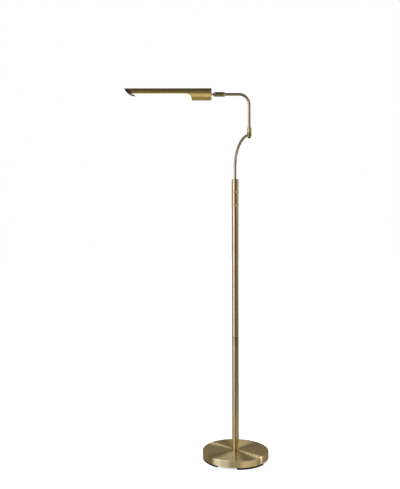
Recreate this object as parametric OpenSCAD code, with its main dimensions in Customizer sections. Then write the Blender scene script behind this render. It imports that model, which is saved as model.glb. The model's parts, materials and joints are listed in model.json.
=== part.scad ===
// Adjustable floor lamp with a weighted round base, a telescoping pole, two bent arms
// that meet in an elbow, and a half-open tube shade on a ball swivel.
// The pole's axis is Z, the floor is z = 0, and the shade points along -X at rest.

/* [Base] */
// Diameter of the round base
base_d = 254; // [200:1:320]
// Height of the base cover's rim
base_h = 25; // [24:1:40]
// Wall of the spun base cover
base_wall = 2; // [1:0.1:3]
// Radius of the rounded top edge of the base
base_edge_r = 2; // [0.5:0.1:4]
// Thickness of the bottom plate
plate_t = 1.5; // [1:0.1:3]
// Thickness of the cast weight outside its boss
weight_t = 16; // [14:0.5:18]
// Diameter of the boss that carries the cover's middle
boss_d = 60; // [40:1:90]
// Height of the rubber feet
foot_h = 7.5; // [4:0.5:10]
// Radial width of a rubber foot
foot_w = 14; // [8:1:24]
// How far the feet stand in from the rim
foot_inset = 0.5; // [0:0.5:10]
// Angle that each foot covers
foot_arc = 54; // [20:1:70]
// Number of feet
foot_n = 4; // [3:1:5]
// Direction of the first foot
foot_azimuth = 26; // [0:1:90]
// Diameter of the cord's way through the inlet bushing
inlet_d = 7; // [5:0.5:8]
// Wall of the inlet bushing
bushing_wall = 1.5; // [1:0.1:2]
// Length of the inlet bushing behind the rim
bushing_l = 14; // [8:0.5:20]
// Overhang of the inlet bushing's flange
bushing_lip = 2; // [1:0.1:3]
// Thickness of the inlet bushing's flange
bushing_flange_t = 1.5; // [1:0.1:3]

/* [Base fastening] */
// Outer diameter of the hollow stud
stud_d = 10; // [8:0.5:12]
// Wire way through the stud
stud_bore = 6; // [4:0.5:7]
// How far the stud reaches into the pole's foot plug
stud_reach = 25; // [15:1:28]
// Height of the plug in the pole's foot
plug_h = 30; // [29:1:50]
// Width across the flats of the base nut
nut_af = 17; // [16:0.5:22]
// Thickness of the base nut
nut_t = 8; // [5:0.5:9]
// Diameter of the base washer
washer_d = 26; // [22:1:32]
// Thickness of the base washer
washer_t = 2; // [1:0.1:3]
// Shank diameter of the plate screws
screw_d = 4; // [3:0.5:5]
// Length of a plate screw under its head
screw_l = 9; // [6:0.5:12]

/* [Pole] */
// Diameter of the pole
pole_d = 26; // [22:0.5:32]
// Wall of the pole tubes
pole_wall = 1.5; // [1:0.1:2]
// Length of the lower pole tube
pole_lower_l = 440; // [300:1:600]
// Length of the upper pole tube
pole_upper_l = 502.5; // [400:0.5:700]
// Chamfer at the tube ends, which shows as a seam
pole_chamfer = 0.4; // [0.2:0.1:0.6]
// Diameter of the ring round the pole's foot
foot_ring_d = 30; // [29:0.5:40]
// Height of the ring round the pole's foot
foot_ring_h = 6; // [3:0.5:12]
// Length of the coupler inside the seam
coupler_l = 60; // [30:1:100]
// Wall of the coupler
coupler_wall = 2.5; // [1.5:0.1:4]

/* [Switch and lock] */
// Diameter of the switch sleeve and the lock collar
sleeve_d = 26.8; // [26.4:0.1:34]
// Wall of the switch sleeve
sleeve_wall = 1.5; // [1:0.1:1.8]
// Length of the switch sleeve between the trim rings
sleeve_h = 46; // [30:1:70]
// Diameter of the trim rings
ring_d = 27.6; // [27:0.1:36]
// Height of a trim ring
ring_h = 7; // [4:0.5:12]
// Length of the lock collar
collar_h = 46; // [40:1:70]
// Thickness of the lock collar's roof
collar_roof = 4; // [2:0.5:6]
// Outer diameter of the core that carries sleeve and collar
core_d = 19; // [18:0.1:19.4]
// Bore of the core
core_bore = 12; // [11:0.1:13]
// Depth of the core's spigot in the upper pole tube
core_spigot_l = 40; // [20:1:60]
// Length of the core inside the lock collar
core_thread_l = 24; // [12:1:26]
// Diameter of the grip collet's body
collet_d = 15; // [14:0.1:16]
// Height of the grip collet's flange
collet_flange_h = 3; // [2:0.1:4]
// Length of the grip collet's taper
collet_taper_h = 5; // [3:0.5:6]
// Radial depth of the grip collet's taper
collet_taper = 1; // [0.5:0.1:1.4]
// Number of slots in the grip collet
collet_slots = 4; // [2:1:6]
// Width of a collet slot
collet_slot_w = 1.2; // [0.8:0.1:2]
// Height of the bearing land at each end of the sleeve
land_h = 5; // [3:0.5:8]
// Angle that the switch wiper covers
wiper_arc = 40; // [10:1:90]
// Height of the switch track on the core
track_h = 14; // [8:1:18]
// Radial thickness of the switch track
track_t = 1.2; // [0.8:0.1:1.4]

/* [Riser] */
// Diameter of the riser rod and the upper arm
rod_d = 10; // [8:0.1:10.4]
// Wall of the riser rod and the upper arm
rod_wall = 1.2; // [0.8:0.1:2]
// Height that the riser can be drawn out
riser_travel = 250; // [100:1:300]
// Rod showing between collar and bend at the lowest setting
riser_show = 47; // [20:1:80]
// Centre-line radius of the riser's bend
riser_bend_r = 105; // [60:1:160]
// Straight length from the bend to the elbow's axis
riser_lead = 17; // [14:0.5:60]
// Direction of the riser's bend at rest
riser_azimuth = -68; // [-180:1:180]
// Height of the guide bush inside the pole
guide_h = 24; // [12:1:40]
// Diameter of the retaining clips
clip_d = 15; // [13:0.5:18]
// Thickness of a retaining clip
clip_t = 1.5; // [1:0.1:3]

/* [Elbow and arm] */
// Diameter of the elbow's eye and barrel
elbow_d = 17; // [15:0.5:24]
// Height of the eye
eye_h = 12; // [12:0.5:20]
// Height of the barrel
barrel_h = 19; // [18:0.5:30]
// Depth of the upper arm's socket in the barrel
arm_socket = 8; // [5:0.5:8]
// Web between bolt and arm in the barrel
barrel_web = 2; // [1:0.1:4]
// Depth of the riser's socket in the eye
eye_socket = 3; // [2:0.1:3.4]
// Diameter of the hollow elbow bolt
bolt_d = 7; // [6:0.1:7.5]
// Wire way through the elbow bolt
bolt_bore = 4; // [3:0.1:4.5]
// Thickness of the elbow's friction washers
elbow_washer_t = 0.6; // [0.4:0.1:2]
// Diameter of the cap nut under the elbow
cap_nut_d = 11; // [10:0.5:16]
// Height of the cap nut
cap_nut_h = 6.5; // [5.5:0.5:12]
// Height from the eye to the level part of the upper arm
arm_rise = 149; // [100:1:220]
// Centre-line radius of the upper arm's bend
arm_bend_r = 38; // [25:1:60]
// Level length from the elbow's axis to the swivel socket
arm_reach = 90; // [75:1:200]
// Direction of the upper arm at rest
arm_azimuth = 180; // [-180:1:180]

/* [Swivel] */
// Diameter of the swivel socket
socket_d = 17; // [16:0.1:20]
// Length of the swivel socket with its end ring
socket_l = 42; // [40:0.5:60]
// Length of the end ring outside the socket
end_ring_l = 4; // [2:0.5:6]
// Length of the end ring's spigot in the socket
end_spigot_l = 5; // [3:0.5:7]
// Diameter of the flange on the arm's end
flange_d = 12; // [11.4:0.1:12.2]
// Thickness of the flange
flange_t = 3; // [2:0.5:4]
// Thickness of the plug behind the flange
plug_t = 3; // [2:0.5:4]
// Diameter of the ball
ball_d = 11.2; // [10:0.1:11.4]
// How far the socket's lip reaches past the ball's centre
lip_l = 3; // [2.6:0.1:3.4]
// Length of the rounded nose of the socket
socket_nose_l = 9; // [6:0.5:12]
// Thickness of the socket's lip
lip_t = 0.6; // [0.4:0.1:1]
// Thickness of one spring washer
spring_t = 0.8; // [0.5:0.1:1]
// Cone height of one spring washer
spring_rise = 1; // [0.5:0.1:1.2]
// Diameter of the neck
neck_d = 5.5; // [4:0.1:6]
// Gap from the socket's lip to the shade
neck_gap = 7.4; // [7:0.1:16]
// Diameter of the neck's collar against the shade
neck_collar_d = 10.5; // [8:0.5:12]
// Thickness of the neck's collar
neck_collar_t = 1.6; // [0.8:0.1:2]

/* [Shade] */
// Diameter of the shade tube
shade_d = 44; // [40:0.5:60]
// Wall of the shade tube
shade_wall = 1.2; // [0.8:0.1:2]
// Length of the shade, to the tip of its nose
shade_l = 322; // [260:1:420]
// Length of the whole tube at the shade's tail
tail_l = 73; // [60:1:100]
// How far the cut lies under the shade's axis
cut_drop = 1.9; // [0:0.1:4]
// Radius of the curved nose
nose_r = 46; // [32:1:90]
// Radius of the rounded corner where the cut meets the tail
corner_r = 23; // [10:0.5:40]
// Thickness of the end cap
end_cap_t = 4; // [2:0.5:6]
// Width across the flats of the stud nut
stud_nut_af = 10; // [9:0.5:14]
// Thickness of the stud nut
stud_nut_t = 4; // [2.5:0.5:6]
// Diameter of the stud washer
stud_washer_d = 14; // [12:0.5:20]
// Thickness of the stud washer
stud_washer_t = 1; // [0.6:0.1:2]
// How far the stud stands out of its nut
stud_over = 1; // [0.5:0.1:3]

/* [Light] */
// Thickness of the bulkhead
bulkhead_t = 3; // [2:0.5:5]
// Thickness of the tray's end cap
tray_cap_t = 3; // [2:0.5:5]
// How far the light tray and its end cap reach into the nose
tray_reach = 16; // [0:0.5:16]
// How far the diffuser lies above the cut
lens_recess = 5; // [4.5:0.1:7]
// Thickness of the diffuser
lens_t = 2; // [1:0.1:3]
// Depth and thickness of the ledges that carry the diffuser's ends
ledge_l = 4; // [2:0.5:8]
// Thickness of those ledges
ledge_t = 1.5; // [1:0.1:2]
// Height from the diffuser to the light board
light_room = 5; // [3:0.1:6]
// Thickness of the light board
board_t = 1.6; // [1:0.1:2]
// Room at each end of the light board
board_margin = 5; // [1:0.5:15]
// Width of the light board
board_w = 14; // [10:0.5:20]
// Length of one light chip
chip_l = 5; // [3:0.1:6]
// Width of one light chip
chip_w = 3; // [2:0.1:5]
// Height of one light chip
chip_h = 0.8; // [0.5:0.1:1.2]
// Distance from chip to chip
chip_pitch = 8; // [7:0.1:20]
// Thickness of the tray's plate
tray_plate_t = 2; // [1.5:0.1:2.5]
// Thickness of the tray's arch
tray_wall = 1.8; // [1:0.1:2.2]
// Diameter of the screw port on the tray's plate
port_d = 5.2; // [4.6:0.1:5.6]
// Shank diameter of the tray screws
tray_screw_d = 2.6; // [2:0.1:3]
// Head diameter of the tray screws
tray_head_d = 4.6; // [4:0.1:5]
// Length of a tray screw under its head
tray_screw_l = 10; // [8:0.5:14]
// Room between the stud and the driver
driver_gap = 2; // [1:0.5:10]
// Width of the driver
driver_w = 26; // [16:0.5:28]
// Height of the driver
driver_h = 18; // [10:0.5:20]
// Edge radius of the driver
driver_r = 3; // [1:0.5:4]

/* [Clearances] */
// Radial clearance of shafts that turn or slide
run_gap = 0.05; // [0.02:0.01:0.1]
// Radial clearance of pieces that are fixed together
fit_gap = 0.05; // [0.02:0.01:0.2]
// End clearance of pieces that turn against each other
face_gap = 0.3; // [0.1:0.05:0.6]
// Clearance round the rod in the lock collar's roof
rod_gap = 0.4; // [0.2:0.05:1]
// Clearance round the base weight
weight_gap = 0.5; // [0.2:0.1:1.5]
// Room under the base nut
nut_room = 1; // [0.5:0.1:2]
// Small rounding of turned edges
edge_r = 0.8; // [0.3:0.1:1.2]

/* [Hidden] */
$fn = 64;

brass = [0.60, 0.49, 0.29];
pale_brass = [0.78, 0.67, 0.45];
dark_bronze = [0.26, 0.22, 0.16];
steel = [0.62, 0.62, 0.60];
iron = [0.24, 0.24, 0.25];
rubber = [0.07, 0.07, 0.07];
nylon = [0.85, 0.84, 0.80];
opal = [0.97, 0.95, 0.90];

// Overshoot of cutting shapes
over = 1;

// Heights along the pole's axis
weight_z = foot_h + plate_t;
base_top = foot_h + base_h;
boss_h = base_h - base_wall - plate_t;
seam_z = base_top + pole_lower_l;
pole_top = seam_z + pole_upper_l;
switch_z = pole_top + ring_h;
ring_upper_z = switch_z + sleeve_h;
collar_z = ring_upper_z + ring_h;
collar_top = collar_z + collar_h;
core_bottom = pole_top - core_spigot_l;
core_top = collar_z + core_thread_l;
riser_bend_z = collar_top + riser_show;
eye_z = riser_bend_z + riser_bend_r;
arm_z = eye_z + arm_rise;

// Base
base_r = base_d / 2;
weight_r = base_r - base_wall - weight_gap;
pocket_r = washer_d / 2 + weight_gap;
pocket_h = washer_t + nut_t + nut_room;
foot_r = base_r - foot_inset;
screw_head_d = 2 * screw_d;
screw_head_h = screw_d / 2;
screw_ring_r = foot_r - foot_w - screw_head_d;
inlet_z = weight_z + weight_t / 2;
bushing_d = inlet_d + 2 * bushing_wall;
bushing_flange_d = bushing_d + 2 * bushing_lip;
tunnel_d = inlet_d + 2 * weight_gap;
inner_edge_r = max(base_edge_r - base_wall, edge_r / 4);

// Pole
pole_id = pole_d - 2 * pole_wall;
rod_id = rod_d - 2 * rod_wall;
clip_top = core_bottom - riser_travel - face_gap;
guide_top = clip_top - clip_t - face_gap;
guide_z = guide_top - guide_h;
rod_bottom = guide_z - face_gap - 2 * clip_t;
sleeve_id = sleeve_d - 2 * sleeve_wall;
track_z = switch_z + (sleeve_h - track_h) / 2;
collet_h = collar_h - core_thread_l - collar_roof - face_gap;

// Elbow and arm
riser_reach = riser_bend_r + riser_lead;
eye_bottom = eye_z - eye_h / 2;
barrel_z = eye_z + eye_h / 2 + face_gap + elbow_washer_t;
barrel_top = barrel_z + barrel_h;
cap_nut_z = eye_bottom - face_gap - elbow_washer_t - cap_nut_h;
cap_nut_edge = min(cap_nut_h, cap_nut_d / 2) / 2;
bolt_seat = barrel_h - arm_socket - barrel_web;
bolt_end_z = cap_nut_z + cap_nut_h / 3;

// Swivel, measured along the upper arm from the elbow's axis
end_ring_x = arm_reach;
socket_x = end_ring_x + end_ring_l;
spigot_end_x = socket_x + end_spigot_l;
flange_x = spigot_end_x + face_gap;
plug_x = flange_x + flange_t + face_gap;
spring_x = plug_x + plug_t;
seat_x = spring_x + 2 * (spring_t + spring_rise);
socket_end_x = end_ring_x + socket_l;
ball_x = socket_end_x - lip_l;
shade_x = socket_end_x + neck_gap;
ball_cavity_d = ball_d + 2 * run_gap;
flange_bore_d = flange_d + 2 * face_gap;

// Shade, measured along the same line
shade_id = shade_d - 2 * shade_wall;
nose_l = sqrt(pow(nose_r, 2) - pow(nose_r - cut_drop - shade_d / 2, 2));
nose_x = shade_x + shade_l - nose_l;
tail_x = shade_x + tail_l;
washer_x = shade_x + end_cap_t;
stud_end_x = washer_x + stud_washer_t + stud_nut_t + stud_over;
driver_x = stud_end_x + driver_gap;
bulkhead_x = tail_x - bulkhead_t;

// Light, heights from the shade's axis
tray_r = shade_id / 2 - fit_gap;
lens_h = lens_recess - cut_drop;
tray_h = lens_h + lens_t;
plate_h = tray_h + light_room + board_t;
port_h = plate_h + tray_plate_t + port_d / 2 - fit_gap;
tray_end_x = nose_x + tray_reach;
tray_l = tray_end_x - tray_cap_t - tail_x;
board_l = tray_l - 2 * board_margin;
chip_n = floor((board_l - chip_l) / chip_pitch);
tray_head_h = tray_screw_d / 2;

// Shared shapes

// Half section of a turned puck with a rounded top edge
module puck_2d(r, h, edge) {
    square([r - edge, h]);
    square([r, h - edge]);
    translate([r - edge, h - edge]) circle(r = edge);
}

// Half section of a ring whose two outer edges are rounded
module ring_2d(r_in, r_out, h, edge) {
    translate([r_in, 0]) square([r_out - edge - r_in, h]);
    translate([r_in, edge]) square([r_out - r_in, h - 2 * edge]);
    for (y = [edge, h - edge])
        translate([r_out - edge, y]) circle(r = edge);
}

module pipe(d_out, d_in, h) {
    difference() {
        cylinder(d = d_out, h = h);
        translate([0, 0, -over]) cylinder(d = d_in, h = h + 2 * over);
    }
}

// Pole tube with chamfered ends
module pole_tube(l) {
    r = pole_d / 2;
    c = pole_chamfer;
    rotate_extrude()
        polygon([[pole_id / 2, 0], [r - c, 0], [r, c], [r, l - c], [r - c, l], [pole_id / 2, l]]);
}

// Tube that comes up from z = -down, bends towards +X at the origin and runs level for out
module bent_tube(bend_r, down, out) {
    translate([0, 0, -down]) pipe(rod_d, rod_id, down);
    translate([bend_r, 0, 0]) mirror([1, 0, 0]) rotate([90, 0, 0])
        rotate_extrude(angle = 90) translate([bend_r, 0]) difference() {
            circle(d = rod_d);
            circle(d = rod_id);
        }
    translate([bend_r, 0, bend_r]) rotate([0, 90, 0]) pipe(rod_d, rod_id, out);
}

// Round-headed screw with its head's seat at z = 0 and its shank upwards
module pan_screw(d, l, head_d, head_h) {
    cylinder(d = d, h = l);
    rotate_extrude() mirror([0, 1]) puck_2d(head_d / 2, head_h, head_h / 2);
}

// Places on the object
module at_riser() rotate([0, 0, riser_azimuth]) children();
module at_elbow()
    at_riser() translate([riser_reach, 0, 0]) rotate([0, 0, arm_azimuth - riser_azimuth]) children();
module at_arm_line() at_elbow() translate([0, 0, arm_z]) children();
// Z runs along the upper arm here, for turned pieces
module at_swivel(x) at_arm_line() translate([x, 0, 0]) rotate([0, 90, 0]) children();
// A section drawn across the shade, carried along it
module along_shade(x, l) at_arm_line() translate([x, 0, 0]) rotate([90, 0, 90]) linear_extrude(l) children();
module each_screw()
    for (i = [0 : foot_n - 1])
        rotate(foot_azimuth + (i + 0.5) * 360 / foot_n) translate([screw_ring_r, 0, 0]) children();

// Base

module base_cover() color(brass) difference() {
    translate([0, 0, foot_h]) rotate_extrude() difference() {
        puck_2d(base_r, base_h, base_edge_r);
        puck_2d(base_r - base_wall, base_h - base_wall, inner_edge_r);
        square([stud_d / 2 + fit_gap, base_h + over]);
    }
    translate([0, 0, inlet_z]) rotate([-90, 0, 0]) cylinder(d = bushing_d + 2 * fit_gap, h = base_d);
}

module base_weight() color(iron) difference() {
    translate([0, 0, weight_z]) rotate_extrude() difference() {
        union() {
            puck_2d(weight_r, weight_t, edge_r);
            puck_2d(boss_d / 2, boss_h, edge_r);
        }
        square([pocket_r, pocket_h]);
        square([stud_d / 2 + fit_gap, boss_h + over]);
    }
    translate([0, 0, inlet_z]) rotate([-90, 0, 0]) cylinder(d = tunnel_d, h = base_d);
    translate([0, base_r - bushing_l, inlet_z]) rotate([-90, 0, 0])
        cylinder(d = bushing_d + 2 * fit_gap, h = base_d);
    each_screw() translate([0, 0, foot_h]) cylinder(d = screw_d + 2 * fit_gap, h = screw_l + over);
}

module base_plate() color(iron) difference() {
    translate([0, 0, foot_h]) cylinder(r = weight_r, h = plate_t);
    each_screw() cylinder(d = screw_d + 2 * fit_gap, h = base_top);
}

module plate_screws() color(steel)
    each_screw() translate([0, 0, foot_h]) pan_screw(screw_d, screw_l, screw_head_d, screw_head_h);

module foot_pads() color(rubber)
    for (i = [0 : foot_n - 1])
        rotate(foot_azimuth + i * 360 / foot_n - foot_arc / 2)
            rotate_extrude(angle = foot_arc)
                translate([foot_r - foot_w, foot_h]) mirror([0, 1]) puck_2d(foot_w, foot_h, edge_r);

module cord_bushing() color(rubber) difference() {
    translate([0, base_r, inlet_z]) rotate([-90, 0, 0]) {
        translate([0, 0, -bushing_l]) cylinder(d = bushing_d, h = bushing_l);
        translate([0, 0, -over]) cylinder(d = bushing_flange_d, h = over + bushing_flange_t);
    }
    difference() {
        cylinder(r = base_r, h = base_top);
        translate([0, 0, inlet_z]) rotate([-90, 0, 0]) cylinder(d = bushing_d, h = base_d);
    }
    translate([0, 0, inlet_z]) rotate([-90, 0, 0]) cylinder(d = inlet_d, h = base_d);
}

module pole_stud() color(steel)
    translate([0, 0, weight_z + nut_room])
        pipe(stud_d, stud_bore, base_top + stud_reach - weight_z - nut_room);

module base_nut() color(steel) translate([0, 0, weight_z + nut_room]) difference() {
    cylinder(d = nut_af / cos(30), h = nut_t, $fn = 6);
    translate([0, 0, -over]) cylinder(d = stud_d + 2 * fit_gap, h = nut_t + 2 * over);
}

module base_washer() color(steel) translate([0, 0, weight_z + nut_room + nut_t])
    pipe(washer_d, stud_d + 2 * fit_gap, washer_t);

// Pole

module pole_plug() color(steel) translate([0, 0, base_top])
    pipe(pole_id - 2 * fit_gap, stud_d + 2 * fit_gap, plug_h);

module foot_ring() color(brass) translate([0, 0, base_top]) rotate_extrude() difference() {
    puck_2d(foot_ring_d / 2, foot_ring_h, edge_r);
    square([pole_d / 2 + fit_gap, foot_ring_h]);
}

module pole_lower() color(brass) translate([0, 0, base_top]) pole_tube(pole_lower_l);

module pole_coupler() color(steel) translate([0, 0, seam_z - coupler_l / 2])
    pipe(pole_id - 2 * fit_gap, pole_id - 2 * coupler_wall, coupler_l);

module pole_upper() color(brass) translate([0, 0, seam_z]) pole_tube(pole_upper_l);

module core_tube() color(steel) {
    translate([0, 0, core_bottom]) pipe(pole_id - 2 * fit_gap, core_bore, core_spigot_l);
    translate([0, 0, pole_top]) pipe(core_d, core_bore, core_top - pole_top);
}

// Switch and lock

module trim_ring() color(pale_brass) rotate_extrude()
    ring_2d(core_d / 2 + fit_gap, ring_d / 2, ring_h, edge_r);

module trim_ring_lower() translate([0, 0, pole_top]) trim_ring();

module trim_ring_upper() translate([0, 0, ring_upper_z]) trim_ring();

module switch_sleeve() color(brass) {
    h = sleeve_h - 2 * face_gap;
    translate([0, 0, switch_z + face_gap]) rotate_extrude() difference() {
        ring_2d(core_d / 2 + run_gap, sleeve_d / 2, h, edge_r / 2);
        translate([0, land_h]) square([sleeve_id / 2, h - 2 * land_h]);
    }
}

module switch_track() color(nylon) translate([0, 0, track_z])
    pipe(core_d + 2 * track_t, core_d + 2 * fit_gap, track_h);

module switch_wiper() color(pale_brass) translate([0, 0, track_z]) {
    r_in = core_d / 2 + track_t + face_gap;
    rotate_extrude(angle = wiper_arc) translate([r_in, 0]) square([sleeve_id / 2 - r_in, track_h]);
}

module lock_collar() color(brass) {
    z0 = collar_z + face_gap;
    r_thread = core_d / 2 + run_gap;
    r_chamber = collet_d / 2 + rod_gap;
    translate([0, 0, z0]) rotate_extrude() difference() {
        ring_2d(rod_d / 2 + rod_gap, sleeve_d / 2, collar_top - z0, edge_r / 2);
        square([r_thread, core_top + collet_flange_h + face_gap - z0]);
        square([r_chamber, collar_top - collar_roof - z0]);
    }
}

module grip_collet() color(nylon) translate([0, 0, core_top]) difference() {
    rotate_extrude() polygon([
        [rod_d / 2 + run_gap, 0], [core_d / 2 - face_gap, 0], [core_d / 2 - face_gap, collet_flange_h],
        [collet_d / 2, collet_flange_h], [collet_d / 2, collet_h - collet_taper_h],
        [collet_d / 2 - collet_taper, collet_h], [rod_d / 2 + run_gap, collet_h]
    ]);
    for (i = [0 : collet_slots - 1])
        rotate(i * 360 / collet_slots) translate([0, -collet_slot_w / 2, 2 * collet_flange_h])
            cube([core_d, collet_slot_w, collet_h]);
}

// Riser

module riser_guide() color(nylon) translate([0, 0, guide_z])
    pipe(pole_id - 2 * run_gap, rod_d + 2 * run_gap, guide_h);

module guide_clips() color(steel)
    for (z = [clip_top - clip_t, guide_z - face_gap - clip_t])
        translate([0, 0, z]) pipe(clip_d, rod_d + 2 * fit_gap, clip_t);

module riser_rod() color(brass) at_riser() translate([0, 0, riser_bend_z])
    bent_tube(riser_bend_r, riser_bend_z - rod_bottom, riser_lead - elbow_d / 2 + eye_socket);

module elbow_eye() color(brass) at_elbow() difference() {
    translate([0, 0, eye_bottom]) rotate_extrude()
        ring_2d(bolt_d / 2 + run_gap, elbow_d / 2, eye_h, edge_r);
    rotate([0, 0, riser_azimuth - arm_azimuth]) translate([eye_socket - elbow_d / 2, 0, eye_z])
        rotate([0, -90, 0]) cylinder(d = rod_d + 2 * fit_gap, h = elbow_d);
}

// Elbow and upper arm

module elbow_bolt() color(steel) at_elbow() translate([0, 0, bolt_end_z])
    pipe(bolt_d, bolt_bore, barrel_z + bolt_seat - bolt_end_z);

module elbow_washers() color(nylon) at_elbow()
    for (z = [barrel_z - elbow_washer_t, cap_nut_z + cap_nut_h])
        translate([0, 0, z]) pipe(cap_nut_d, bolt_d + 2 * fit_gap, elbow_washer_t);

module elbow_cap_nut() color(dark_bronze) at_elbow() translate([0, 0, cap_nut_z + cap_nut_h])
    mirror([0, 0, 1]) rotate_extrude() difference() {
        puck_2d(cap_nut_d / 2, cap_nut_h, cap_nut_edge);
        square([bolt_d / 2 + fit_gap, cap_nut_z + cap_nut_h - bolt_end_z]);
    }

module elbow_barrel() color(pale_brass) at_elbow() translate([0, 0, barrel_z])
    rotate_extrude() difference() {
        ring_2d(bolt_bore / 2, elbow_d / 2, barrel_h, edge_r);
        square([bolt_d / 2 + fit_gap, bolt_seat]);
        translate([0, barrel_h - arm_socket]) square([rod_d / 2 + fit_gap, arm_socket + over]);
    }

module upper_arm() color(brass) at_elbow() translate([0, 0, arm_z - arm_bend_r])
    bent_tube(arm_bend_r, arm_z - arm_bend_r - barrel_top + arm_socket, flange_x + flange_t - arm_bend_r);

module arm_flange() color(steel) at_swivel(flange_x) pipe(flange_d, rod_d + 2 * fit_gap, flange_t);

// Swivel

module socket_end_ring() color(pale_brass) at_swivel(end_ring_x) rotate_extrude() {
    ring_2d(rod_d / 2 + run_gap, socket_d / 2, end_ring_l, edge_r);
    translate([rod_d / 2 + run_gap, 0])
        square([flange_bore_d / 2 - fit_gap - rod_d / 2 - run_gap, end_ring_l + end_spigot_l]);
}

// The bullet nose is an arc that leaves the socket's side smoothly and ends at the lip
module swivel_socket() color(dark_bronze) at_swivel(socket_x) {
    l = socket_end_x - socket_x;
    r = socket_d / 2;
    lip_r = sqrt(pow(ball_cavity_d / 2, 2) - pow(lip_l, 2)) + lip_t;
    nose_arc_r = (pow(r - lip_r, 2) + pow(socket_nose_l, 2)) / (2 * (r - lip_r));
    rotate_extrude() difference() {
        intersection() {
            square([r, l]);
            union() {
                square([r, l - socket_nose_l]);
                translate([r - nose_arc_r, l - socket_nose_l]) circle(r = nose_arc_r);
            }
        }
        square([flange_bore_d / 2, spring_x - socket_x]);
        square([ball_cavity_d / 2, ball_x - socket_x]);
        translate([0, ball_x - socket_x]) intersection() {
            circle(d = ball_cavity_d);
            translate([0, -ball_d]) square(2 * ball_d);
        }
    }
}

module socket_plug() color(steel) at_swivel(plug_x)
    pipe(flange_bore_d - 2 * fit_gap, bolt_bore, plug_t);

module spring_washers() color(steel) at_swivel(spring_x) rotate_extrude()
    for (i = [0, 1])
        translate([0, i * 2 * (spring_t + spring_rise)]) mirror([0, i]) polygon([
            [bolt_bore / 2, spring_rise], [ball_d / 2 - face_gap, 0],
            [ball_d / 2 - face_gap, spring_t], [bolt_bore / 2, spring_rise + spring_t]
        ]);

module ball_seat() color(nylon) at_swivel(seat_x) rotate_extrude() difference() {
    translate([bolt_bore / 2, 0])
        square([ball_d / 2 - bolt_bore / 2, ball_x - seat_x - ball_d / 8]);
    translate([0, ball_x - seat_x]) intersection() {
        circle(d = ball_cavity_d);
        translate([0, -ball_d]) square(2 * ball_d);
    }
}

// Head

module ball_stud() color(dark_bronze) at_swivel(ball_x) rotate_extrude() intersection() {
    union() {
        circle(d = ball_d);
        square([neck_d / 2, stud_end_x - ball_x]);
        translate([0, shade_x - ball_x - neck_collar_t]) square([neck_collar_d / 2, neck_collar_t]);
    }
    translate([0, -ball_d]) square([ball_d, stud_end_x - ball_x + 2 * ball_d]);
}

// Side view of what stays of the shade tube: x along it, y up from its axis
module shade_side_2d() {
    translate([shade_x, -cut_drop]) square([nose_x - shade_x, shade_d]);
    translate([shade_x, -shade_d]) square([tail_l, 2 * shade_d]);
    translate([nose_x, nose_r - cut_drop]) circle(r = nose_r);
    translate([tail_x, -cut_drop - corner_r]) difference() {
        square(corner_r);
        translate([corner_r, 0]) circle(r = corner_r);
    }
}

module shade_shell() color(brass) at_arm_line() intersection() {
    translate([shade_x, 0, 0]) rotate([0, 90, 0]) pipe(shade_d, shade_id, shade_l);
    rotate([90, 0, 0]) linear_extrude(shade_d + over, center = true) shade_side_2d();
}

module shade_end_cap() color(brass) at_swivel(shade_x)
    pipe(2 * tray_r, neck_d + 2 * fit_gap, end_cap_t);

module stud_washer() color(steel) at_swivel(washer_x)
    pipe(stud_washer_d, neck_d + 2 * fit_gap, stud_washer_t);

module stud_nut() color(steel) at_swivel(washer_x + stud_washer_t) difference() {
    cylinder(d = stud_nut_af / cos(30), h = stud_nut_t, $fn = 6);
    translate([0, 0, -over]) cylinder(d = neck_d + 2 * fit_gap, h = stud_nut_t + 2 * over);
}

// Light

module driver() color(iron) along_shade(driver_x, bulkhead_x - driver_x) {
    square([driver_w, driver_h - 2 * driver_r], center = true);
    square([driver_w - 2 * driver_r, driver_h], center = true);
    for (x = [-1, 1], y = [-1, 1])
        translate([x * (driver_w / 2 - driver_r), y * (driver_h / 2 - driver_r)]) circle(r = driver_r);
}

// Part of the shade's round section above a height
module segment_2d(h) {
    intersection() {
        circle(r = tray_r);
        translate([-tray_r, h]) square(2 * tray_r);
    }
}

// Ledge under an end of the diffuser
module lens_ledge(x) along_shade(x, ledge_l) difference() {
    segment_2d(lens_h - ledge_t);
    translate([-tray_r, lens_h]) square(2 * tray_r);
}

module port_hole(x, l) at_arm_line() translate([x, 0, port_h]) rotate([0, 90, 0])
    cylinder(d = tray_screw_d + 2 * fit_gap, h = l);

module bulkhead() color(opal) difference() {
    union() {
        along_shade(bulkhead_x, bulkhead_t) circle(r = tray_r);
        lens_ledge(tail_x);
    }
    port_hole(bulkhead_x - over, bulkhead_t + 2 * over);
}

module light_tray() color(steel) difference() {
    along_shade(tail_x, tray_l) intersection() {
        circle(r = tray_r);
        union() {
            difference() {
                segment_2d(tray_h);
                circle(r = tray_r - tray_wall);
            }
            translate([-tray_r, plate_h]) square([2 * tray_r, tray_plate_t]);
            translate([0, port_h]) circle(d = port_d);
        }
    }
    port_hole(tail_x - over, tray_l + 2 * over);
}

module light_board() color("white") at_arm_line()
    translate([tail_x + (tray_l - board_l) / 2, -board_w / 2, plate_h - board_t])
        cube([board_l, board_w, board_t]);

module light_chips() color([0.95, 0.85, 0.45]) at_arm_line()
    for (i = [0 : chip_n - 1])
        translate([
            tail_x + tray_l / 2 + (i - (chip_n - 1) / 2) * chip_pitch - chip_l / 2,
            -chip_w / 2,
            plate_h - board_t - chip_h
        ]) cube([chip_l, chip_w, chip_h]);

module diffuser() color(opal) along_shade(tail_x, tray_l) difference() {
    segment_2d(lens_h);
    translate([-tray_r, lens_h + lens_t]) square(2 * tray_r);
}

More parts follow.
